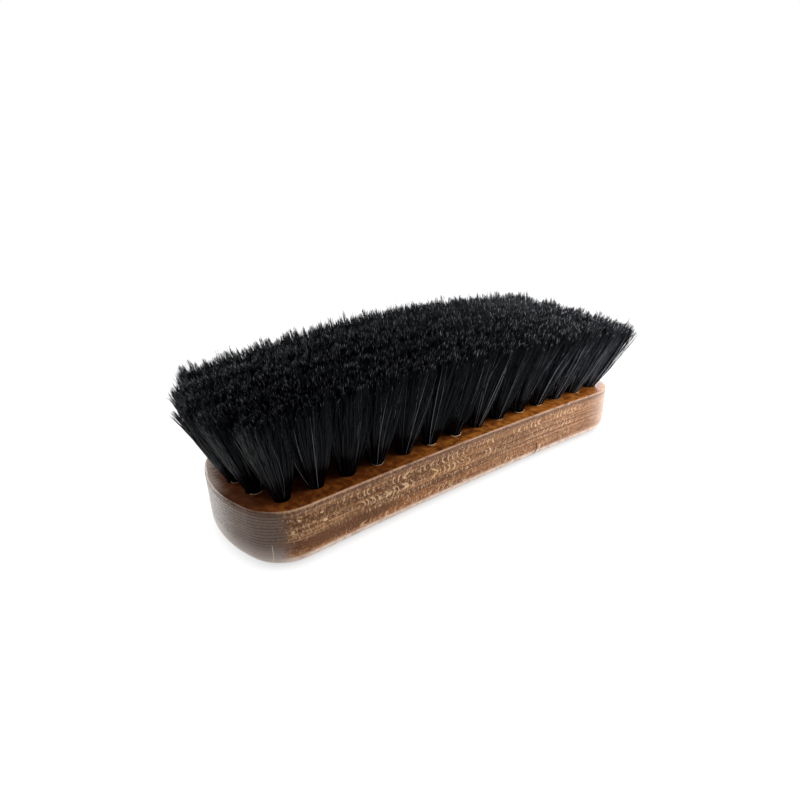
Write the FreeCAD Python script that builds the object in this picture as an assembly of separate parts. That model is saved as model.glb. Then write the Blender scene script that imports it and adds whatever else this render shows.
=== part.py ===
import FreeCAD, Part
import math
import os

from FreeCAD import Placement, Rotation, Vector

# A shoe shine brush lying on its back: +X along the block, +Z up through the bristles,
# origin in the middle of the block's back. Lengths are in millimetres, angles in degrees.

# Wooden block
block_length = 170.0
waist_width = 51.0
side_hollow = 2.3
end_bulge = 9.3
corner_radius = 15.0
block_thickness = 19.4
back_edge_radius = 5.0
face_edge_radius = 0.8

# Blind holes, measured along each hole's own axis
outer_row_count = 14
inner_row_count = 15
hole_diameter = 5.0
hole_depth = 11.0
side_margin = 7.7
outer_end_margin = 14.0
inner_end_margin = 9.3
middle_end_margin = 7.2

# Tufts of hair, splayed outwards and trimmed to one dome
hair_height = 33.4
end_trim_drop = 6.5
end_lean = 16.3
side_lean = 15.0
tuft_clearance = 0.1
tip_gap = 0.4

# Flat wire anchors, which hold each folded tuft down in its hole
anchor_height = 2.0
anchor_thickness = 0.5
anchor_bite = 0.7
anchor_clearance = 0.05
fold_thickness = 1.5

cut_overrun = 3.0

# Rows from the front of the block to its back: name, number of tufts, margin at each end
rows = [
    ("front_row", outer_row_count, outer_end_margin),
    ("front_inner_row", inner_row_count, inner_end_margin),
    ("middle_row", inner_row_count, middle_end_margin),
    ("back_inner_row", inner_row_count, inner_end_margin),
    ("back_row", outer_row_count, outer_end_margin),
]

half_length = block_length / 2
half_waist = waist_width / 2
half_end = half_waist + side_hollow
side_radius = half_length ** 2 / (2 * side_hollow)
end_radius = (half_end ** 2 + end_bulge ** 2) / (2 * end_bulge)
trim_radius = (half_length ** 2 + end_trim_drop ** 2) / (2 * end_trim_drop)
trim_centre_height = block_thickness + hair_height - trim_radius
hole_radius = hole_diameter / 2
stem_radius = hole_radius - tuft_clearance
gather_height = hole_radius
up = Vector(0, 0, 1)


def corner_centre():
    """Centre of the corner arc at +X, -Y, which is tangent to the end arc and to the side arc."""
    end_centre = Vector(half_length - end_radius, 0, 0)
    side_centre = Vector(0, -half_waist - side_radius, 0)
    from_end = end_radius - corner_radius
    from_side = side_radius + corner_radius
    between = side_centre - end_centre
    along = (from_end ** 2 - from_side ** 2 + between.Length ** 2) / (2 * between.Length)
    across = math.sqrt(from_end ** 2 - along ** 2)
    direction = between.normalize()
    normal = up.cross(direction)
    return end_centre, side_centre, end_centre + direction * along + normal * across


def block_plan():
    """Outline of the block: hollow sides, bowed ends and rounded corners, all tangent arcs."""
    end_centre, side_centre, corner = corner_centre()
    outwards = (corner - end_centre).normalize()
    forwards = (side_centre - corner).normalize()
    end_point = corner + outwards * corner_radius
    side_point = corner + forwards * corner_radius
    corner_point = corner + (outwards + forwards).normalize() * corner_radius

    def place(point, x_sign, y_sign):
        return Vector(point.x * x_sign, point.y * y_sign, 0)

    front = Vector(0, -half_waist, 0)
    tip = Vector(half_length, 0, 0)
    arcs = [
        (place(side_point, -1, 1), front, side_point),
        (side_point, corner_point, end_point),
        (end_point, tip, place(end_point, 1, -1)),
        (place(end_point, 1, -1), place(corner_point, 1, -1), place(side_point, 1, -1)),
        (place(side_point, 1, -1), -front, place(side_point, -1, -1)),
        (place(side_point, -1, -1), place(corner_point, -1, -1), place(end_point, -1, -1)),
        (place(end_point, -1, -1), -tip, place(end_point, -1, 1)),
        (place(end_point, -1, 1), place(corner_point, -1, 1), place(side_point, -1, 1)),
    ]
    return Part.Wire([Part.Arc(start, middle, end).toShape() for start, middle, end in arcs])


def rim_edges(shape, height):
    """Edges of the plan outline that lie flat at one height."""
    box_of = [(edge, edge.BoundBox) for edge in shape.Edges]
    return [edge for edge, box in box_of if abs(box.ZMin - height) + abs(box.ZMax - height) < tuft_clearance]


def solid_block():
    """Block before drilling, with its two rims rounded over."""
    block = Part.Face(block_plan()).extrude(up * block_thickness)
    block = block.makeFillet(back_edge_radius, rim_edges(block, 0))
    return block.makeFillet(face_edge_radius, rim_edges(block, block_thickness))


def half_width(x):
    """Half the block's width at a place along it, on the hollow side."""
    return half_waist + side_radius - math.sqrt(side_radius ** 2 - x ** 2)


def row_places(count, end_margin):
    """Even spacing of a row's holes along the block."""
    reach = half_length - end_margin
    pitch = 2 * reach / (count - 1)
    return [pitch * index - reach for index in range(count)]


def tuft_axis(x, row_index):
    """Point where a tuft leaves the bristle face, and its lean for each unit of height."""
    middle_index = (len(rows) - 1) / 2
    across_share = (row_index - middle_index) / middle_index
    along_share = x / (half_length - middle_end_margin)
    y = across_share * half_width(x) * (1 - side_margin / half_waist)
    lean_x = along_share * abs(along_share) * math.tan(math.radians(end_lean))
    lean_y = across_share * math.tan(math.radians(side_lean))
    return Vector(x, y, block_thickness), Vector(lean_x, lean_y, 1)


def tip_point(base, lean):
    """Point where a tuft's axis meets the domed trim surface."""
    rise = base.z - trim_centre_height
    a = lean.x ** 2 + 1
    b = base.x * lean.x + rise
    c = base.x ** 2 + rise ** 2 - trim_radius ** 2
    return base + lean * ((math.sqrt(b ** 2 - a * c) - b) / a)


def all_tufts():
    """Every tuft of the brush as (row index, place in the row, base, lean, tip)."""
    tufts = []
    for row_index, (row_name, count, end_margin) in enumerate(rows):
        for place, x in enumerate(row_places(count, end_margin)):
            base, lean = tuft_axis(x, row_index)
            tufts.append((row_index, place, base, lean, tip_point(base, lean)))
    return tufts


def widest_tip_radius(tufts):
    """Tip radius at which the closest two tufts still leave the tip gap between them."""
    tips = [tip for row_index, place, base, lean, tip in tufts]
    closest = min(
        first.distanceToPoint(second)
        for index, first in enumerate(tips)
        for second in tips[:index]
    )
    return (closest - tip_gap) / 2


def anchor_bar(grow):
    """Wire anchor lying across a hole near its floor, in the hole's axes, grown on every side."""
    length = hole_diameter + 2 * anchor_bite + 2 * grow
    thickness = anchor_thickness + 2 * grow
    height = anchor_height + 2 * grow
    floor = fold_thickness - hole_depth - grow
    return Part.makeBox(length, thickness, height, Vector(-length / 2, -thickness / 2, floor))


def hole_tool():
    """Cutter for one hole and for the notches that its anchor bites in the wood."""
    hole = Part.makeCylinder(hole_radius, hole_depth + cut_overrun, Vector(0, 0, -hole_depth))
    return hole.fuse(anchor_bar(anchor_clearance))


def tuft_form(length, tip_radius):
    """Tuft in its hole's axes: a gathered stem round the anchor, then a flare past the trim."""
    flare = (tip_radius - stem_radius) / (length - gather_height)
    top = length + tip_radius
    stem_floor = tuft_clearance - hole_depth
    profile = [
        Vector(0, 0, stem_floor),
        Vector(stem_radius, 0, stem_floor),
        Vector(stem_radius, 0, gather_height),
        Vector(tip_radius + flare * tip_radius, 0, top),
        Vector(0, 0, top),
    ]
    outline = Part.makePolygon(profile + profile[:1])
    return Part.Face(outline).revolve(Vector(0, 0, 0), up).cut(anchor_bar(anchor_clearance))


def trim_cutter(tip, tip_radius):
    """Block that stands on the domed trim surface where a tuft's axis meets it."""
    width = 4 * tip_radius
    outwards = Vector(tip.x, 0, tip.z - trim_centre_height)
    cutter = Part.makeBox(width, width, width, Vector(-width / 2, -width / 2, 0))
    cutter.Placement = Placement(tip, Rotation(up, outwards)).multiply(cutter.Placement)
    return cutter


def tuft_node(row_index, place):
    """Name of the node that a tuft belongs to."""
    row_name, count, end_margin = rows[row_index]
    if row_index == 0:
        return "front_tuft_%02d" % (place + 1)
    if row_index == len(rows) - 1:
        return "back_tuft_%02d" % (place + 1)
    if place == 0:
        return "left_end_tuft_%d" % row_index
    if place == count - 1:
        return "right_end_tuft_%d" % row_index
    return "inner_tufts_column_%02d" % place


def build():
    """Every node of the brush by name, each with its list of solids."""
    nodes = {}
    cutters = []
    tufts = all_tufts()
    tip_radius = widest_tip_radius(tufts)
    for row_index, place, base, lean, tip in tufts:
        seat = Placement(base, Rotation(up, lean))
        tuft = tuft_form(base.distanceToPoint(tip), tip_radius)
        anchor = anchor_bar(0)
        cutter = hole_tool()
        for shape in (tuft, anchor, cutter):
            shape.Placement = seat.multiply(shape.Placement)
        tuft = tuft.cut(trim_cutter(tip, tip_radius))
        nodes.setdefault(tuft_node(row_index, place), []).append(tuft.Solids[0])
        nodes.setdefault(rows[row_index][0] + "_anchors", []).append(anchor)
        cutters.append(cutter)
    nodes["wooden_block"] = solid_block().cut(cutters).Solids
    return nodes


os.makedirs("parts", exist_ok=True)
for name, solids in build().items():
    shape = solids[0] if len(solids) == 1 else Part.makeCompound(solids)
    shape.exportStep("parts/" + name + ".step")
    print(name, len(solids), "solids, valid", shape.isValid(), "volume", round(shape.Volume, 2))
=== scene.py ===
import math
from collections import namedtuple

import bpy
import numpy as np
from mathutils import Matrix, Vector


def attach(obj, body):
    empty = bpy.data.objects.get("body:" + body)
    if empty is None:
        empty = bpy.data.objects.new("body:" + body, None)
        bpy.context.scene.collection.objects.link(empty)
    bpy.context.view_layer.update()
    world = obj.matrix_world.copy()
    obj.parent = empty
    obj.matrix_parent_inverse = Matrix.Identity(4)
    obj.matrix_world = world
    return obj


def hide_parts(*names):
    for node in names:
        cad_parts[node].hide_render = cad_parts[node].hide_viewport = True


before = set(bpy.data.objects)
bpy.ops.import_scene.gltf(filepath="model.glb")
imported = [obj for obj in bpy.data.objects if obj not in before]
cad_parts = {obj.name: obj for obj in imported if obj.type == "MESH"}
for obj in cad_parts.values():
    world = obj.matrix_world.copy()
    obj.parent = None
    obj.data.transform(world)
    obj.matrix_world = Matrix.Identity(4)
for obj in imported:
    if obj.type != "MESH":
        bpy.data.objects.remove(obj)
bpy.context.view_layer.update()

# Sizes of the brush in metres, as the CAD frame has them
mm = 0.001
block_length = 170 * mm
waist_width = 51 * mm
side_hollow = 2.3 * mm
end_bulge = 9.3 * mm
block_thickness = 19.4 * mm
hole_radius = 2.5 * mm
side_margin = 7.7 * mm
outer_end_margin = 14 * mm
inner_end_margin = 9.3 * mm
middle_end_margin = 7.2 * mm
hair_height = 33.4 * mm
end_trim_drop = 6.5 * mm
end_lean = math.radians(16.3)
side_lean = math.radians(15)

# Rows of tufts from the front of the block to its back: number of tufts, margin at each end
rows = (
    (14, outer_end_margin),
    (15, inner_end_margin),
    (15, middle_end_margin),
    (15, inner_end_margin),
    (14, outer_end_margin),
)

half_length = block_length / 2
half_waist = waist_width / 2
half_end = half_waist + side_hollow
side_radius = half_length ** 2 / (2 * side_hollow)
end_radius = (half_end ** 2 + end_bulge ** 2) / (2 * end_bulge)
trim_radius = (half_length ** 2 + end_trim_drop ** 2) / (2 * end_trim_drop)
trim_centre_height = block_thickness + hair_height - trim_radius


# Node helpers

Grain = namedtuple("Grain", "cells detail roughness shows", defaults=(0.55, None))


def feed(tree, socket, value):
    """Sets a socket to a plain value, or links it if the value is another node's output."""
    if isinstance(value, bpy.types.NodeSocket):
        tree.links.new(value, socket)
    else:
        socket.default_value = value


def new_material(name):
    """Empty node material and its tree."""
    material = bpy.data.materials.new(name)
    material.use_nodes = True
    material.node_tree.nodes.clear()
    return material, material.node_tree


def calc(tree, operation, *values):
    """Math node on up to three values."""
    node = tree.nodes.new("ShaderNodeMath")
    node.operation = operation
    for socket, value in zip(node.inputs, values):
        feed(tree, socket, value)
    return node.outputs[0]


def times(tree, first, second):
    """Product of two values."""
    return calc(tree, "MULTIPLY", first, second)


def square(tree, value):
    """A value times itself."""
    return calc(tree, "MULTIPLY", value, value)


def between(tree, share, start, end):
    """Value that goes from start to end as share goes from 0 to 1."""
    return calc(tree, "MULTIPLY_ADD", share, end - start, start)


def step(tree, value, low, high):
    """Smooth step from 0 at low to 1 at high."""
    node = tree.nodes.new("ShaderNodeMapRange")
    node.interpolation_type = "SMOOTHSTEP"
    feed(tree, node.inputs["Value"], value)
    node.inputs["From Min"].default_value = low
    node.inputs["From Max"].default_value = high
    return node.outputs["Result"]


def fall(tree, value, low, high):
    """Smooth step from 1 at low to 0 at high."""
    return calc(tree, "SUBTRACT", 1.0, step(tree, value, low, high))


def offset(tree, value, middle, half):
    """How far a value lies from a middle, counted in half sizes."""
    return calc(tree, "DIVIDE", calc(tree, "SUBTRACT", value, middle), half)


def band_mask(tree, value, middle, half, core):
    """1 in the core of a band, which is a share of its half size, falling to 0 at the band's edges."""
    return fall(tree, calc(tree, "ABSOLUTE", offset(tree, value, middle, half)), core, 1.0)


def noise(tree, vector, grain):
    """Noise from 0 to 1 with the cells, detail and roughness of a grain."""
    scale = tree.nodes.new("ShaderNodeVectorMath")
    scale.operation = "MULTIPLY"
    feed(tree, scale.inputs[0], vector)
    scale.inputs[1].default_value = grain.cells
    node = tree.nodes.new("ShaderNodeTexNoise")
    feed(tree, node.inputs["Vector"], scale.outputs[0])
    node.inputs["Scale"].default_value = 1.0
    node.inputs["Detail"].default_value = grain.detail
    node.inputs["Roughness"].default_value = grain.roughness
    return node.outputs["Fac"]


def marks(tree, vector, grain):
    """Mask of the places where a grain's noise is high enough to show."""
    return step(tree, noise(tree, vector, grain), *grain.shows)


def blend(tree, share, first, second):
    """Colour that goes from first to second."""
    node = tree.nodes.new("ShaderNodeMix")
    node.data_type = "RGBA"
    feed(tree, node.inputs["Factor"], share)
    feed(tree, node.inputs["A"], first)
    feed(tree, node.inputs["B"], second)
    return node.outputs["Result"]


def lay_coats(tree, colour, coats):
    """Colour with coats laid over it in turn, each a paint, its mask and the share of it that covers."""
    for paint, mask, cover in coats:
        colour = blend(tree, times(tree, mask, cover), colour, paint)
    return colour


def place_in_mm(tree):
    """Object coordinates in millimetres, as a vector and as X, Y and Z."""
    coordinates = tree.nodes.new("ShaderNodeTexCoord")
    scale = tree.nodes.new("ShaderNodeVectorMath")
    scale.operation = "SCALE"
    feed(tree, scale.inputs[0], coordinates.outputs["Object"])
    scale.inputs["Scale"].default_value = 1 / mm
    split = tree.nodes.new("ShaderNodeSeparateXYZ")
    feed(tree, split.inputs[0], scale.outputs[0])
    return scale.outputs[0], split.outputs[0], split.outputs[1], split.outputs[2]


def finish_surface(tree, colour, roughness, bump_height=None, bump_distance=0.0, specular=0.5):
    """Principled surface with an optional bump; returns its shader node."""
    shader = tree.nodes.new("ShaderNodeBsdfPrincipled")
    feed(tree, shader.inputs["Base Color"], colour)
    feed(tree, shader.inputs["Roughness"], roughness)
    shader.inputs["Specular IOR Level"].default_value = specular
    if bump_height is not None:
        bump = tree.nodes.new("ShaderNodeBump")
        bump.inputs["Distance"].default_value = bump_distance
        bump.inputs["Strength"].default_value = 1.0
        feed(tree, bump.inputs["Height"], bump_height)
        feed(tree, shader.inputs["Normal"], bump.outputs[0])
    output = tree.nodes.new("ShaderNodeOutputMaterial")
    feed(tree, output.inputs["Surface"], shader.outputs[0])
    return shader


# Wood colours

wood_brown = (0.3, 0.133, 0.048, 1)
wood_dark = (0.1, 0.036, 0.014, 1)
wood_tan = (0.48, 0.235, 0.12, 1)
wood_red = (0.4, 0.135, 0.045, 1)
wood_pale = (0.76, 0.5, 0.29, 1)
wood_grey = (0.2, 0.118, 0.086, 1)
wood_pink = (0.6, 0.36, 0.23, 1)
wood_wear_and_painted_light = (0.88, 0.71, 0.6, 1)
wood_gold = (0.68, 0.43, 0.18, 1)
wood_amber = (0.6, 0.34, 0.15, 1)
crack_brown = (0.03, 0.015, 0.01, 1)
face_orange = (0.46, 0.14, 0.018, 1)
face_shade_red = (0.11, 0.022, 0.004, 1)
face_bright = (0.62, 0.22, 0.035, 1)
face_dark = (0.085, 0.02, 0.006, 1)
end_grey = (0.19, 0.118, 0.084, 1)
end_line = (0.045, 0.028, 0.021, 1)
end_pink = (0.74, 0.62, 0.56, 1)
end_tan = (0.3, 0.18, 0.105, 1)
end_painted_sheen = (0.7, 0.64, 0.6, 1)

# Wood grain: cells per mm along X, Y and Z, detail, roughness, and the noise at which its marks
# start to show and are full
streak_grain = Grain((0.025, 0.4, 0.75), 3.0)
fibre_grain = Grain((0.18, 2.2, 3.0), 5.0, 0.6)
ragged_grain = Grain((0.4, 0.4, 0.6), 3.0)
edge_wear_and_highlight_grain = Grain((0.25, 0.25, 0.25), 3.0, shows=(0.3, 0.6))
growth_grain = Grain((0.006, 0.04, 1.3), 3.0, 0.6)
dash_grain = Grain((0.45, 0.4, 2.4), 3.0, 0.65, (0.52, 0.62))
tick_grain = Grain((2.0, 0.4, 1.0), 3.0, 0.65, (0.52, 0.62))
sparkle_grain = Grain((0.7, 0.4, 0.9), 4.0, 0.65, (0.48, 0.66))
thread_grain = Grain((0.1, 0.2, 3.0), 4.0, 0.7, (0.52, 0.6))
scuff_grain = Grain((0.5, 0.3, 0.5), 3.0, shows=(0.3, 0.6))
ripple_drift_grain = Grain((0.09, 0.05, 0.02), 2.0)
ripple_shake_grain = Grain((0.6, 0.1, 0.6), 2.0)
ripple_patch_grain = Grain((0.13, 0.03, 0.2), 2.0, shows=(0.4, 0.62))
ring_sway_grain = Grain((0.02, 0.03, 0.1), 2.0)
ring_patch_grain = Grain((0.05, 0.05, 0.45), 2.0, shows=(0.1, 0.6))
pore_grain = Grain((1.5, 1.5, 1.9), 4.0, 0.7)
stain_grain = Grain((0.2, 0.3, 0.2), 4.0, 0.65, (0.45, 0.6))
mottle_grain = Grain((0.5, 0.35, 0.4), 3.0, 0.6)
fray_grain = Grain((0.25, 1.3, 0.3), 3.0, 0.6)

# Noise at which a second use of a grain starts and is full
side_streak = (0.38, 0.58)
face_streak = (0.22, 0.62)
pale_growth = (0.36, 0.43)
dark_growth = (0.54, 0.62)
wood_between_pores = (0.2, 0.6)
bright_mottle = (0.44, 0.58)
dull_mottle = (0.38, 0.48)

# Where the wood changes, as the start and end of a smooth step in mm: along X, across Y and up Z
left_to_right_x = (-20.0, 20.0)
front_to_back_y = (-5.0, 5.0)
side_dark_x = (-60.0, -20.0)
side_red_x = (-50.0, -10.0)
side_red_z = (3.0, 10.0)
side_tan_x = (-40.0, 90.0)
side_grey_z = (16.0, 18.0)
side_sparkle_x = (-62.0, -30.0)
side_ripple_x = (-64.0, -48.0)
side_plain_x = (48.0, 68.0)
side_lit_end_x = (58.0, 82.0)
back_rim_reflection_z = (3.2, 4.5)
end_sheen_y = (-14.0, 2.0)
end_floor_reflection_z = (1.5, 9.5)
end_coat_z = (17.6, 18.6)
face_shade_x = (-45.0, 10.0)
face_lit_x = (-45.0, 5.0)
face_shade_inset = (3.5, 7.0)
face_worn_edge = (-2.0, 1.5)
face_worn_y = (-8.0, 4.0)
face_rim_z = (18.75, 19.0)
dark_rim_z = 18.2
dark_rim_half = 0.5

# Parts of the surface normal at which the bristle face and the end grain start and are full, and how
# much noise shifts the end grain's edge
face_normal = (0.8, 0.97)
end_normal = (0.48, 0.78)
end_raggedness = 0.4

# Rows of ripple fleck on the long sides: height, half height and length of a ripple in mm, bow of its
# arcs in ripples, and the height of the wave at which a line shows
Ripple = namedtuple("Ripple", "height half bow length thin")
ripple_rows = (
    Ripple(15.6, 1.6, -0.6, 2.3, 0.66),
    Ripple(11.8, 1.9, 0.8, 2.1, 0.6),
    Ripple(9.0, 0.8, 0.5, 1.7, 0.78),
    Ripple(5.0, 1.3, -0.5, 2.9, 0.74),
)
ripple_drift = 5.0
ripple_shake = 0.9
ripple_line_start = -0.15
ripple_line_full = 0.2
ripple_crest = 0.99

# Single marks: place along X, height, half size along X and half height in mm
Mark = namedtuple("Mark", "x z half_x half_z")
single_flecks = (
    Mark(-71.9, 12.0, 0.7, 0.8),
    Mark(-69.9, 15.4, 0.5, 0.5),
    Mark(-61.9, 12.4, 0.9, 0.6),
    Mark(-62.8, 15.4, 0.7, 0.4),
    Mark(32.9, 5.2, 0.8, 1.3),
)
dark_patch = Mark(-56.0, 7.2, 24.0, 3.0)
gold_fleck = Mark(-21.0, 12.4, 0.65, 2.2)
crack = Mark(31.0, 4.2, 0.45, 3.2)
scratch = Mark(-77.3, 5.5, 0.16, 3.5)
fleck_core = 0.3
arrow_slope = 1.5

# End grain: spacing of its growth lines in mm, their sway in spacings, and the height of the wave at
# which a line starts and is full
ring_spacing = 1.0
ring_sway = 2.5
ring_line = (0.1, 0.98)

# How far noise frays the painted sheen on the end and the worn rim of the face, in mm
sheen_fray = 16.0
rim_fray = 4.0


# Wood

def ripple_row(tree, vector, x, z, ripple):
    """Pale arcs in a row along the block, in patches."""
    drift = times(tree, noise(tree, vector, ripple_drift_grain), ripple_drift)
    arc = times(tree, square(tree, offset(tree, z, ripple.height, ripple.half)), ripple.bow)
    phase = calc(tree, "ADD", calc(tree, "DIVIDE", x, ripple.length), drift)
    phase = calc(tree, "MULTIPLY_ADD", noise(tree, vector, ripple_shake_grain), ripple_shake, phase)
    wave = calc(tree, "SINE", times(tree, calc(tree, "ADD", phase, arc), 2 * math.pi))
    full = min(ripple.thin + ripple_line_full, ripple_crest)
    line = step(tree, wave, ripple.thin + ripple_line_start, full)
    inside = band_mask(tree, z, ripple.height, ripple.half, core=0.5)
    return times(tree, times(tree, line, inside), marks(tree, vector, ripple_patch_grain))


def spot(tree, x, z, mark):
    """Soft oval fleck."""
    along = square(tree, offset(tree, x, mark.x, mark.half_x))
    upright = square(tree, offset(tree, z, mark.z, mark.half_z))
    return fall(tree, calc(tree, "ADD", along, upright), fleck_core, 1.0)


def upright_line(tree, x, z, mark):
    """Short thin line that stands on the side of the block."""
    across = band_mask(tree, x, mark.x, mark.half_x, core=0.3)
    return times(tree, across, band_mask(tree, z, mark.z, mark.half_z, core=0.7))


def arrow(tree, x, z, mark):
    """Pointed fleck of two strokes that meet towards +X."""
    rise = calc(tree, "ABSOLUTE", calc(tree, "SUBTRACT", z, mark.z))
    slanted = calc(tree, "MULTIPLY_ADD", rise, arrow_slope, x)
    stroke = band_mask(tree, slanted, mark.x + mark.half_z, mark.half_x, core=0.4)
    return times(tree, stroke, band_mask(tree, z, mark.z, mark.half_z, core=0.6))


def pale_flecks(tree, vector, x, z, on_front):
    """Ripple fleck between the plain ends of the long sides, and the single flecks of the front."""
    flecks = 0.0
    for ripple in ripple_rows:
        flecks = calc(tree, "MAXIMUM", flecks, ripple_row(tree, vector, x, z, ripple))
    rippled = times(tree, step(tree, x, *side_ripple_x), fall(tree, x, *side_plain_x))
    flecks = times(tree, flecks, rippled)
    for single in single_flecks:
        flecks = calc(tree, "MAXIMUM", flecks, times(tree, spot(tree, x, z, single), on_front))
    return flecks


def side_colour(tree, vector, x, y, z, streak):
    """Long grain with growth lines, dashes and pale flecks; darker to the left and paler to the right,
    partly its own colour and partly painted light from the right, with a pale back rim that is a painted
    floor reflection broken by scuffs.
    """
    on_front = fall(tree, y, *front_to_back_y)
    growth = noise(tree, vector, growth_grain)
    ticks = times(tree, marks(tree, vector, tick_grain), fall(tree, x, *side_plain_x))
    sparkle = times(tree, marks(tree, vector, sparkle_grain), fall(tree, x, *side_sparkle_x))
    red_cover = between(tree, step(tree, x, *side_red_x), 0.65, 0.3)
    reflection_and_scuff_cover = between(tree, marks(tree, vector, scuff_grain), 0.5, 0.95)
    colour = blend(tree, step(tree, streak, *side_streak), wood_dark, wood_brown)
    return lay_coats(tree, colour, (
        # darker to the left and tan to the right: partly the wood's own colour, partly painted light from
        # the right
        (wood_dark, fall(tree, x, *side_dark_x), 0.4),
        (wood_red, fall(tree, z, *side_red_z), red_cover),
        (wood_tan, step(tree, x, *side_tan_x), 0.6),
        (wood_grey, step(tree, z, *side_grey_z), 0.65),
        (wood_pink, fall(tree, growth, *pale_growth), 0.5),
        (wood_dark, marks(tree, vector, dash_grain), 0.75),
        (wood_pale, ticks, 0.5),
        (wood_amber, sparkle, 0.38),
        (wood_dark, spot(tree, x, z, dark_patch), 0.75),
        (wood_pale, pale_flecks(tree, vector, x, z, on_front), 0.9),
        (wood_dark, marks(tree, vector, thread_grain), 0.3),
        (wood_dark, step(tree, growth, *dark_growth), 0.65),
        (wood_gold, arrow(tree, x, z, gold_fleck), on_front),
        # painted light: the side grows pale towards its right end, where light from the right falls
        # strongly
        (wood_wear_and_painted_light, step(tree, x, *side_lit_end_x), 0.75),
        # painted reflection of the white floor on the lower rim, broken up by scuffs
        (wood_wear_and_painted_light, fall(tree, z, *back_rim_reflection_z), reflection_and_scuff_cover),
        (crack_brown, upright_line(tree, x, z, crack), on_front),
    ))


def end_colour(tree, vector, x, y, z):
    """End grain: level dark growth lines and fine pores, paler low down from a painted reflection of the
    floor, and with a painted sheen towards the back of the left end.
    """
    to_right = step(tree, x, *left_to_right_x)
    sway = times(tree, noise(tree, vector, ring_sway_grain), ring_sway)
    level = calc(tree, "ADD", calc(tree, "DIVIDE", z, ring_spacing), sway)
    ring = step(tree, calc(tree, "SINE", times(tree, level, 2 * math.pi)), *ring_line)
    rings = times(tree, ring, marks(tree, vector, ring_patch_grain))
    pore = noise(tree, vector, pore_grain)
    frayed_y = calc(tree, "MULTIPLY_ADD", calc(tree, "SUBTRACT", pore, 0.5), sheen_fray, y)
    # painted sheen: the back part of the left end paler, as where grazing light catches it
    painted_sheen = times(tree, step(tree, frayed_y, *end_sheen_y), fall(tree, x, *left_to_right_x))
    bare = lay_coats(tree, blend(tree, to_right, end_grey, end_tan), [(end_painted_sheen, painted_sheen, 0.85)])
    colour = blend(tree, step(tree, pore, *wood_between_pores), end_line, bare)
    scratched = times(tree, upright_line(tree, x, z, scratch), fall(tree, y, *front_to_back_y))
    return lay_coats(tree, colour, (
        (end_line, rings, 0.85),
        # painted reflection of the white floor: the end paler low down, most at the left end
        (end_pink, fall(tree, z, *end_floor_reflection_z), between(tree, to_right, 0.7, 0.25)),
        (wood_wear_and_painted_light, scratched, 0.6),
    ))


def worn_face_rim(tree, vector, x, y, on_right):
    """Frayed edge of the bristle face at its two ends, at the left end only towards the back."""
    bow = times(tree, square(tree, y), mm / (2 * end_radius))
    inset = calc(tree, "SUBTRACT", half_length / mm, calc(tree, "ADD", calc(tree, "ABSOLUTE", x), bow))
    fray = times(tree, noise(tree, vector, fray_grain), rim_fray)
    edge = step(tree, calc(tree, "SUBTRACT", fray, inset), *face_worn_edge)
    return times(tree, edge, calc(tree, "MAXIMUM", step(tree, y, *face_worn_y), on_right))


def face_colour(tree, vector, x, y, streak):
    """Oiled bristle face: mottled orange, with painted shade between the tufts and towards the left,
    where it is redder and darker, and brighter orange towards the right that is partly painted light.
    """
    on_right = step(tree, x, *left_to_right_x)
    mottle = noise(tree, vector, mottle_grain)
    bright_cover = between(tree, step(tree, x, *face_lit_x), 0.25, 0.65)
    worn_cover = between(tree, on_right, 0.75, 0.4)
    hollow = times(tree, square(tree, x), mm / (2 * side_radius))
    inset = calc(tree, "ADD", hollow, calc(tree, "SUBTRACT", half_waist / mm, calc(tree, "ABSOLUTE", y)))
    colour = blend(tree, step(tree, streak, *face_streak), face_dark, face_orange)
    return lay_coats(tree, colour, (
        (face_dark, marks(tree, vector, stain_grain), 0.6),
        # painted shade: the face redder and darker towards the left end
        (face_shade_red, fall(tree, x, *face_shade_x), 0.9),
        # bright orange mottle, partly the wood's own and partly painted light, covering more towards the
        # right
        (face_bright, step(tree, mottle, *bright_mottle), bright_cover),
        # painted shade: the face darker away from its long edges, between the tufts, where the hair
        # shades it
        (face_dark, step(tree, inset, *face_shade_inset), 0.65),
        (face_dark, fall(tree, mottle, *dull_mottle), 0.2),
        (wood_wear_and_painted_light, worn_face_rim(tree, vector, x, y, on_right), worn_cover),
    ))


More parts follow.
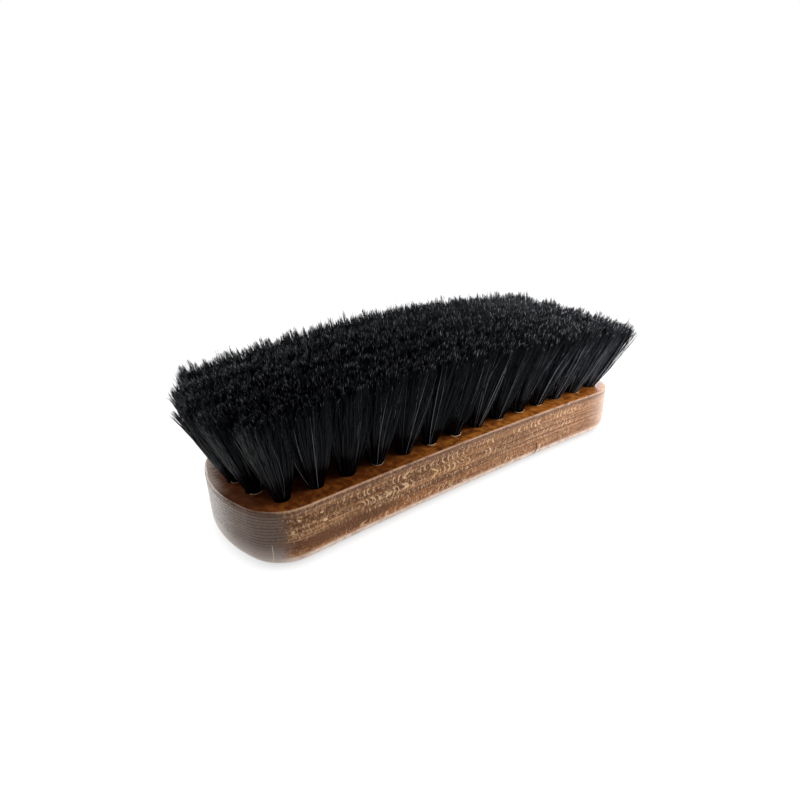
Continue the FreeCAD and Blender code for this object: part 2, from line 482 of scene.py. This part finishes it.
def make_wood():
    """Oiled beech: ripple fleck on the long sides, layered end grain, orange bristle face, and pale rims
    that are painted highlight and painted floor reflection, broken by wear.
    """
    material, tree = new_material("oiled_wood")
    vector, x, y, z = place_in_mm(tree)
    geometry = tree.nodes.new("ShaderNodeNewGeometry")
    normal = tree.nodes.new("ShaderNodeSeparateXYZ")
    feed(tree, normal.inputs[0], geometry.outputs["Normal"])
    on_face = step(tree, normal.outputs[2], *face_normal)
    end_facing = calc(tree, "ABSOLUTE", normal.outputs[0])
    ragged = calc(tree, "MULTIPLY_ADD", noise(tree, vector, ragged_grain), end_raggedness, end_facing)
    on_end = step(tree, ragged, *end_normal)
    fibre = noise(tree, vector, fibre_grain)
    streak = noise(tree, vector, streak_grain)

    side = side_colour(tree, vector, x, y, z, streak)
    colour = blend(tree, on_end, side, end_colour(tree, vector, x, y, z))
    # painted highlight along the top edge of the sides and ends, broken into patches where the edge is
    # worn
    rim = times(tree, step(tree, z, *face_rim_z), marks(tree, vector, edge_wear_and_highlight_grain))
    colour = lay_coats(tree, colour, (
        (wood_dark, band_mask(tree, z, dark_rim_z, dark_rim_half, core=0.2), 0.6),
        (wood_pink, rim, between(tree, on_end, 0.6, 0.1)),
    ))
    colour = blend(tree, on_face, colour, face_colour(tree, vector, x, y, streak))
    roughness = between(tree, fibre, 0.32, 0.57)
    shader = finish_surface(tree, colour, roughness, fibre, bump_distance=0.06 * mm, specular=0.14)
    coated = times(tree, on_end, fall(tree, z, *end_coat_z))
    feed(tree, shader.inputs["Coat Weight"], between(tree, coated, 0.06, 0.36))
    shader.inputs["Coat Roughness"].default_value = 0.3
    return material


# Splinters, hair and wire

splinter_brown = (0.42, 0.24, 0.12, 1)
splinter_pale = (0.72, 0.52, 0.34, 1)
splinter_grain = Grain((1.5, 1.5, 1.5), 3.0)
hair_black = (0.001, 0.0013, 0.003, 1)
hair_pale = (0.265, 0.278, 0.32, 1)
hair_glint = (0.8, 0.8, 0.82, 1)
hair_sheen = (0.82, 0.92, 1.0, 1)
hair_darkening = (0.7, 0.95)
hair_tip = (0.955, 1.0)
wire_dark = (0.42, 0.42, 0.41, 1)
wire_bright = (0.62, 0.62, 0.6, 1)
wire_grain = Grain((0.5, 20.0, 12.0), 4.0)


def make_splinter():
    """Raw wood fibre that the drill has left round the holes."""
    material, tree = new_material("raw_splinter")
    vector, x, y, z = place_in_mm(tree)
    colour = blend(tree, noise(tree, vector, splinter_grain), splinter_brown, splinter_pale)
    finish_surface(tree, colour, roughness=0.6, specular=0.3)
    return material


def carried(tree, name):
    """Value that every point of a hair carries under a name."""
    node = tree.nodes.new("ShaderNodeAttribute")
    node.attribute_name = name
    return node.outputs["Fac"]


def make_hair():
    """Black hair: each hair has its own tone, from black to a few pale ones, with more pale hairs to the
    right as painted light, and some tips carry a painted glint.
    """
    material, tree = new_material("black_hair")
    along = carried(tree, "along")
    below_tip = between(tree, step(tree, along, *hair_darkening), 1.0, 0.25)
    colour = blend(tree, times(tree, carried(tree, "tone"), below_tip), hair_black, hair_pale)
    tip = times(tree, step(tree, along, *hair_tip), carried(tree, "glint"))
    colour = blend(tree, tip, colour, hair_glint)
    shader = finish_surface(tree, colour, roughness=0.22, specular=0.145)
    shader.inputs["Specular Tint"].default_value = hair_sheen
    return material


def make_wire():
    """Drawn steel wire with fine marks along it."""
    material, tree = new_material("anchor_wire")
    vector, x, y, z = place_in_mm(tree)
    drawn = noise(tree, vector, wire_grain)
    colour = blend(tree, drawn, wire_dark, wire_bright)
    roughness = between(tree, drawn, 0.2, 0.45)
    shader = finish_surface(tree, colour, roughness, drawn, bump_distance=0.01 * mm)
    shader.inputs["Metallic"].default_value = 1.0
    return material


# Hair: how many, how thick and how far a tuft's tips spread

clump_count = 95
hairs_per_clump = 9
hair_count = clump_count * hairs_per_clump
hair_radius = 0.09 * mm
hair_width_shares = (0.75, 1.2)
root_depth = 1.5 * mm
root_spread = 2.0 * mm
inner_spread = np.array([6.9, 7.0]) * mm
outer_spread = np.array([5.2, 6.0]) * mm
widest_share = 1.12
bound_share = 0.05
flare_power = 1.9
outer_flare_power = 1.05
gather_power = 3
valley_depth = np.array([0.6, 2.4]) * mm
outer_valley_share = 0.3
trim_twist = 1.3 * mm
trim_tilt = 1.0 * mm

# How much hairs differ: jitters are shares of the tuft's reach
clump_jitter = 0.06
loose_jitter = 0.13
gathered_jitter = 0.05
fray_jitter = 0.12
wild_chance = 0.015
wild_shares = (0.2, 0.5)
wild_drop = 6 * mm
clump_lift = 1.5 * mm
clump_lift_spread = 0.95 * mm
hair_drop = 0.7 * mm
stray_chance = 0.05
stray_lift = (0.6 * mm, 2.2 * mm)
bend_spread = 0.25 * mm
kink_chance = 0.04
kink_spread = 1.1 * mm
upright_bend_share = 0.3
hair_seed = 100

# Tones and glints from the left end of the brush to its right end: a high power leaves few pale hairs;
# more pale hairs and stronger glints to the right are painted light from the right
tone_and_light_places = [-1, 0, 0.5, 1]
tone_and_light_powers = [38, 24, 4.4, 3.1]
glint_places = [-1, 0, 1]
glint_strengths = [0.4, 1.1, 1.5]
glint_power = 13

# Rings of corners along each hair, as shares of its length and of its width, before its pointed tip
ring_places = np.array([0.0, 0.08, 0.2, 0.38, 0.62, 0.82, 0.97])
ring_widths = np.array([0.8, 1.0, 1.0, 1.0, 1.0, 0.95, 0.8])
ring_count = len(ring_places)
hair_sides = 3
side_guide = [0.35, 0.9, 0.2]
map_cell_fill = 0.9
golden_angle = math.pi * (3 - math.sqrt(5))

# Slivers of fibre at the holes
burr_chance = 0.55
burr_middle_degrees = (-125, -55)
burr_half_span_degrees = (25, 65)
burr_gap = (0.15 * mm, 0.5 * mm)
burr_lift = (0.1 * mm, 0.7 * mm)
burr_curl_power = 3
burr_height = 0.08 * mm
burr_radius = (0.07 * mm, 0.18 * mm)
burr_seed = 7

Tuft = namedtuple("Tuft", "base lean outward")


def unit(vector):
    """Vector of length 1 in the same direction."""
    return vector / np.linalg.norm(vector)


def tuft_axis(x, row):
    """Where a tuft leaves the bristle face, and its lean for each unit of height."""
    middle = (len(rows) - 1) / 2
    across_share = (row - middle) / middle
    along_share = x / (half_length - middle_end_margin)
    half_width = half_waist + side_radius - math.sqrt(side_radius ** 2 - x ** 2)
    base = np.array([x, across_share * half_width * (1 - side_margin / half_waist), block_thickness])
    lean = np.array([
        along_share * abs(along_share) * math.tan(end_lean),
        across_share * math.tan(side_lean),
        1.0,
    ])
    return base, lean


def trim_height(x, y):
    """Height of the domed trim surface, with the slight tilt and twist that the hair has taken on."""
    slope = (trim_tilt + trim_twist * x / half_length) / half_waist
    return trim_centre_height + np.sqrt(trim_radius ** 2 - x ** 2) + slope * y


def tuft_tip(base, lean):
    """Point where a tuft's axis meets the trim surface."""
    rise = base[2] - trim_centre_height
    a = lean[0] ** 2 + 1
    b = base[0] * lean[0] + rise
    c = base[0] ** 2 + rise ** 2 - trim_radius ** 2
    return base + lean * ((math.sqrt(b ** 2 - a * c) - b) / a)


def tuft_node(row, place, count):
    """Name of the CAD node that a tuft belongs to."""
    if row == 0:
        return "front_tuft_%02d" % (place + 1)
    if row == len(rows) - 1:
        return "back_tuft_%02d" % (place + 1)
    if place == 0:
        return "left_end_tuft_%d" % row
    if place == count - 1:
        return "right_end_tuft_%d" % row
    return "inner_tufts_column_%02d" % place


def all_tufts():
    """CAD node name to its tufts; outward is -1 or 1 along X or Y on the brush's own outside, else 0."""
    found = {}
    for row, (count, margin) in enumerate(rows):
        for place, x in enumerate(np.linspace(margin - half_length, half_length - margin, count)):
            end_side = (place == count - 1) - (place == 0)
            long_side = (row == len(rows) - 1) - (row == 0)
            tuft = Tuft(*tuft_axis(x, row), np.array([end_side, long_side]))
            found.setdefault(tuft_node(row, place, count), []).append(tuft)
    return found


def clump_places(rng):
    """Places of a tuft's clumps within its round tip, as shares of its reach."""
    number = np.arange(clump_count)
    reach = np.sqrt((number + 0.5) / clump_count)
    angle = number * golden_angle + rng.uniform(0, 2 * math.pi)
    places = np.stack([reach * np.cos(angle), reach * np.sin(angle)], axis=1)
    return places + rng.normal(0, clump_jitter, places.shape)


def hair_lift(rng, owner):
    """How far each hair's tip stands past the trim: its clump's lift, its own drop, and a few strays."""
    lift = rng.normal(clump_lift, clump_lift_spread, clump_count)[owner]
    lift -= np.abs(rng.normal(0, hair_drop, hair_count))
    stray = rng.random(hair_count) < stray_chance
    return lift + stray * rng.uniform(*stray_lift, hair_count)


def hair_bend(rng):
    """How far each hair bows at its middle, with a few kinked ones."""
    bend = rng.normal(0, bend_spread, (hair_count, 3))
    kinked = rng.random(hair_count) < kink_chance
    bend += kinked[:, None] * rng.normal(0, kink_spread, (hair_count, 3))
    bend[:, 2] *= upright_bend_share
    return bend


def tuft_paths(rng, tuft):
    """Centre lines of a tuft's hairs, as hairs by places by XYZ with the tip as the last place."""
    root = tuft.base - unit(tuft.lean) * root_depth
    tip = tuft_tip(tuft.base, tuft.lean)
    owner = np.repeat(np.arange(clump_count), hairs_per_clump)
    clump = clump_places(rng)[owner]
    loose = clump + rng.normal(0, loose_jitter, clump.shape)
    gathered = clump + rng.normal(0, gathered_jitter, clump.shape)

    wild = (rng.random(hair_count) < wild_chance) * rng.uniform(*wild_shares, hair_count)
    gathered = gathered.clip(-widest_share, widest_share) * (1 + wild)[:, None]
    outside = gathered * tuft.outward > 0
    frayed = 1 + np.abs(rng.normal(0, fray_jitter, (hair_count, 1)))
    spread = np.where(outside, outer_spread * frayed, inner_spread)
    ends = tip[:2] + spread * gathered
    lift = hair_lift(rng, owner) - wild * wild_drop
    valley = (valley_depth * np.where(outside, outer_valley_share, 1.0) * gathered ** 2).sum(axis=1)
    end_z = trim_height(ends[:, 0], ends[:, 1]) - valley + lift

    places = np.append(ring_places, 1.0)[None, :, None]
    free = ((places - bound_share) / (1 - bound_share)).clip(0, 1)
    flare = 1 - (1 - free) ** np.where(outside, outer_flare_power, flare_power)[:, None]
    gather = places ** gather_power
    tip_share = loose[:, None] * (1 - gather) + gathered[:, None] * gather
    paths = root + (tip - root) * places + np.zeros((hair_count, 1, 1))
    paths[:, :, :2] += root_spread * loose[:, None].clip(-1, 1) * (1 - flare)
    paths[:, :, :2] += spread[:, None] * tip_share * flare
    paths[:, :, 2] = root[2] + (end_z - root[2])[:, None] * places[:, :, 0]
    return paths + hair_bend(rng)[:, None] * np.sin(math.pi * places)


def hair_faces():
    """Faces of one closed hair, each corner with its vertex and its place on the hair's own map."""
    faces = [[(corner, (corner + 0.5) / hair_sides, 0.0) for corner in reversed(range(hair_sides))]]
    for ring in range(ring_count):
        low, high = ring * hair_sides, (ring + 1) * hair_sides
        bottom, top = ring / ring_count, (ring + 1) / ring_count
        for corner in range(hair_sides):
            after = (corner + 1) % hair_sides
            left, right = corner / hair_sides, (corner + 1) / hair_sides
            base = [(low + corner, left, bottom), (low + after, right, bottom)]
            if ring < ring_count - 1:
                faces.append(base + [(high + after, right, top), (high + corner, left, top)])
            else:
                faces.append(base + [(high, (left + right) / 2, top)])
    return faces


def hair_points(paths, widths):
    """Points of each hair: a ring of corners at every place along it, then its tip."""
    along = np.diff(paths, axis=1)
    along /= np.linalg.norm(along, axis=2, keepdims=True)
    across = np.cross(along, side_guide)
    across /= np.linalg.norm(across, axis=2, keepdims=True)
    third = np.cross(along, across)
    turn = 2 * math.pi * np.arange(hair_sides) / hair_sides
    circle = across[:, :, None] * np.cos(turn)[:, None] + third[:, :, None] * np.sin(turn)[:, None]
    width = widths[:, None] * ring_widths[None]
    tube = paths[:, :ring_count, None] + circle * width[:, :, None, None]
    return np.concatenate([tube.reshape(len(paths), -1, 3), paths[:, -1:]], axis=1)


def fill_mesh(mesh, points, pattern):
    """Gives a mesh the points of all hairs, with the same pattern of smooth faces on each hair."""
    hairs, per_hair = points.shape[:2]
    corners = np.array([vertex for face in pattern for vertex, u, v in face])
    starts = np.cumsum([0] + [len(face) for face in pattern[:-1]])
    each = np.arange(hairs)[:, None]
    mesh.vertices.add(hairs * per_hair)
    mesh.vertices.foreach_set("co", points.ravel())
    mesh.loops.add(hairs * len(corners))
    mesh.loops.foreach_set("vertex_index", (each * per_hair + corners).ravel())
    mesh.polygons.add(hairs * len(pattern))
    mesh.polygons.foreach_set("loop_start", (each * len(corners) + starts).ravel())
    mesh.update(calc_edges=True)
    mesh.polygons.foreach_set("use_smooth", np.ones(len(mesh.polygons), bool))


def add_map(mesh, hairs, pattern):
    """Gives each hair a cell of its own on the mesh's map."""
    columns = math.ceil(math.sqrt(hairs))
    cell = np.array([(u, v) for face in pattern for vertex, u, v in face])
    cell = cell * map_cell_fill + (1 - map_cell_fill) / 2
    corner = np.stack([np.arange(hairs) % columns, np.arange(hairs) // columns], axis=1)
    uv = (corner[:, None] + cell[None]) / columns
    mesh.uv_layers.new(name="OFBake").data.foreach_set("uv", uv.ravel())


def hair_mesh(name, paths, widths, tones_and_light, glints):
    """Mesh of closed tapered hairs, whose points carry a tone, a glint and their place along the hair."""
    points = hair_points(paths, widths)
    hairs, per_hair = points.shape[:2]
    pattern = hair_faces()
    mesh = bpy.data.meshes.new(name)
    fill_mesh(mesh, points, pattern)
    add_map(mesh, hairs, pattern)
    along = np.append(np.repeat(ring_places, hair_sides), 1.0)
    shades = {
        "tone": np.repeat(tones_and_light, per_hair),
        "glint": np.repeat(glints, per_hair),
        "along": np.tile(along, hairs),
    }
    for attribute, values in shades.items():
        data = mesh.attributes.new(attribute, "FLOAT", "POINT").data
        data.foreach_set("value", values.astype(np.float32))
    return mesh


def add_piece(name, mesh, material):
    """New object in the scene that rides on the brush."""
    mesh.materials.append(material)
    piece = bpy.data.objects.new(name, mesh)
    bpy.context.collection.objects.link(piece)
    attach(piece, "root")
    return piece


def add_hair(material):
    """One piece of hair for each CAD node of tufts."""
    for number, (node, tufts) in enumerate(all_tufts().items()):
        rng = np.random.default_rng(hair_seed + number)
        paths = np.concatenate([tuft_paths(rng, tuft) for tuft in tufts])
        place = paths[:, -1, 0] / half_length
        # painted light: more pale hairs towards the right end, where light from the right falls
        tones_and_light = rng.random(len(paths)) ** np.interp(place, tone_and_light_places, tone_and_light_powers)
        widths = hair_radius * rng.uniform(*hair_width_shares, len(paths))
        glints = rng.random(len(paths)) ** glint_power * np.interp(place, glint_places, glint_strengths)
        mesh = hair_mesh(node + "_hair", paths, widths, tones_and_light, glints)
        piece = add_piece(node + "_hair", mesh, material)
        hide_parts(node)


def burr_path(rng, base):
    """Sliver of wood fibre that curls along the front of a hole's rim, with its ends lifted."""
    middle = math.radians(rng.uniform(*burr_middle_degrees))
    half_span = math.radians(rng.uniform(*burr_half_span_degrees))
    place = np.linspace(-1, 1, ring_count + 1)
    turn = middle + half_span * place
    reach = hole_radius + rng.uniform(*burr_gap)
    height = burr_height + np.abs(place) ** burr_curl_power * rng.uniform(*burr_lift)
    return base + np.stack([reach * np.cos(turn), reach * np.sin(turn), height], axis=1)


def add_burrs(material):
    """Slivers round some of the holes of the outermost tufts."""
    rng = np.random.default_rng(burr_seed)
    outer = [tuft.base for tufts in all_tufts().values() for tuft in tufts if tuft.outward.any()]
    paths = np.array([burr_path(rng, base) for base in outer if rng.random() < burr_chance])
    widths = rng.uniform(*burr_radius, len(paths))
    plain = np.zeros(len(paths))
    mesh = hair_mesh("hole_burrs", paths, widths, plain, plain)
    add_piece("hole_burrs", mesh, material)


# Stage: lengths in metres, but the sensor in mm and the focal length in pixels of an 800 pixel frame

camera_place = Vector((-117.44, -142.57, 99.43)) * mm
camera_yaw = math.radians(35.65)
camera_pitch = math.radians(21.85)
camera_roll = math.radians(-1.68)
focal_pixels = 521.4
frame_pixels = 800
sensor_width = 36.0
clip_start = 0.01

white = (1, 1, 1, 1)
floor_colour = (0.9, 0.9, 0.9, 1)
floor_half = 3.0
floor_drop = 0.05 * mm
shadow_reach = (0.14, 0.3)
glow_share = 0.85
glow_strength = 1.115
contact_reach = 3 * mm
contact_power = 0.2
ambient = 0.36

# Lamps: name, place and size in metres, power in watts
lamps = (
    ("key_lamp", (0.3, -0.22, 0.17), 0.2, 1.6),
    ("back_lamp", (0.4, 0.16, 0.2), 0.2, 1.1),
    ("left_lamp", (-0.3, 0.45, 0.12), 0.25, 2.0),
)


def add_camera():
    """Camera at the photograph's viewpoint."""
    forward = Vector((
        math.sin(camera_yaw) * math.cos(camera_pitch),
        math.cos(camera_yaw) * math.cos(camera_pitch),
        -math.sin(camera_pitch),
    ))
    level = Vector((math.cos(camera_yaw), -math.sin(camera_yaw), 0))
    upright = level.cross(forward)
    right = level * math.cos(camera_roll) + upright * math.sin(camera_roll)
    upward = upright * math.cos(camera_roll) - level * math.sin(camera_roll)
    data = bpy.data.cameras.new("camera")
    data.sensor_width = sensor_width
    data.lens = focal_pixels / frame_pixels * sensor_width
    data.clip_start = clip_start
    camera = bpy.data.objects.new("camera", data)
    turn = Matrix((right, upward, -forward)).transposed().to_4x4()
    camera.matrix_world = Matrix.Translation(camera_place) @ turn
    bpy.context.collection.objects.link(camera)
    bpy.context.scene.camera = camera


def seen_directly(tree):
    """1 for rays from the camera, a reflection or a see-through surface, else 0."""
    path = tree.nodes.new("ShaderNodeLightPath")
    seen = calc(tree, "MAXIMUM", path.outputs["Is Camera Ray"], path.outputs["Is Glossy Ray"])
    return calc(tree, "MAXIMUM", seen, path.outputs["Is Transmission Ray"])


def floor_glow(tree, seen):
    """White light of the floor where it is seen, dimmed close to the brush."""
    occlusion = tree.nodes.new("ShaderNodeAmbientOcclusion")
    occlusion.inputs["Distance"].default_value = contact_reach
    open_share = calc(tree, "POWER", occlusion.outputs["AO"], contact_power)
    glow = tree.nodes.new("ShaderNodeEmission")
    glow.inputs["Color"].default_value = white
    feed(tree, glow.inputs["Strength"], times(tree, seen, times(tree, open_share, glow_strength)))
    return glow.outputs[0]


def make_floor():
    """White floor material that keeps a soft shadow near the brush and glows alone far from it."""
    material, tree = new_material("floor_white")
    seen = seen_directly(tree)
    diffuse = tree.nodes.new("ShaderNodeBsdfDiffuse")
    diffuse.inputs["Color"].default_value = floor_colour
    coordinates = tree.nodes.new("ShaderNodeTexCoord")
    distance = tree.nodes.new("ShaderNodeVectorMath")
    distance.operation = "LENGTH"
    feed(tree, distance.inputs[0], coordinates.outputs["Object"])
    far = step(tree, distance.outputs["Value"], *shadow_reach)
    mix = tree.nodes.new("ShaderNodeMixShader")
    feed(tree, mix.inputs[0], times(tree, seen, between(tree, far, glow_share, 1.0)))
    feed(tree, mix.inputs[1], diffuse.outputs[0])
    feed(tree, mix.inputs[2], floor_glow(tree, seen))
    output = tree.nodes.new("ShaderNodeOutputMaterial")
    feed(tree, output.inputs["Surface"], mix.outputs[0])
    return material


def add_floor():
    """Plain square floor just under the brush."""
    mesh = bpy.data.meshes.new("floor")
    corners = [(-1, -1), (1, -1), (1, 1), (-1, 1)]
    points = [(x * floor_half, y * floor_half, -floor_drop) for x, y in corners]
    mesh.from_pydata(points, [], [range(len(points))])
    mesh.materials.append(make_floor())
    floor = bpy.data.objects.new("floor", mesh)
    bpy.context.collection.objects.link(floor)


def set_world():
    """Even studio light, white where it is seen."""
    world = bpy.data.worlds.new("studio")
    bpy.context.scene.world = world
    world.use_nodes = True
    tree = world.node_tree
    tree.nodes.clear()
    background = tree.nodes.new("ShaderNodeBackground")
    background.inputs["Color"].default_value = white
    feed(tree, background.inputs["Strength"], between(tree, seen_directly(tree), ambient, 1.0))
    output = tree.nodes.new("ShaderNodeOutputWorld")
    feed(tree, output.inputs["Surface"], background.outputs[0])


def add_lamp(name, place, size, power):
    """Square soft lamp that faces the brush."""
    data = bpy.data.lights.new(name, "AREA")
    data.shape = "SQUARE"
    data.size = size
    data.energy = power
    lamp = bpy.data.objects.new(name, data)
    lamp.location = place
    target = Vector((0, 0, block_thickness))
    lamp.rotation_euler = (target - Vector(place)).to_track_quat("-Z", "Y").to_euler()
    bpy.context.collection.objects.link(lamp)


def set_stage():
    """Camera, floor, studio light and lamps."""
    add_camera()
    add_floor()
    set_world()
    for lamp in lamps:
        add_lamp(*lamp)
    bpy.context.scene.view_settings.view_transform = "Standard"


def wear(node, material):
    """Gives a CAD node its finished material."""
    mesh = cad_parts[node].data
    mesh.materials.clear()
    mesh.materials.append(material)


def main():
    """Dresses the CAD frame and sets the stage."""
    wear("wooden_block", make_wood())
    wire = make_wire()
    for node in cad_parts:
        if node.endswith("_anchors"):
            wear(node, wire)
    add_hair(make_hair())
    add_burrs(make_splinter())
    set_stage()


main()
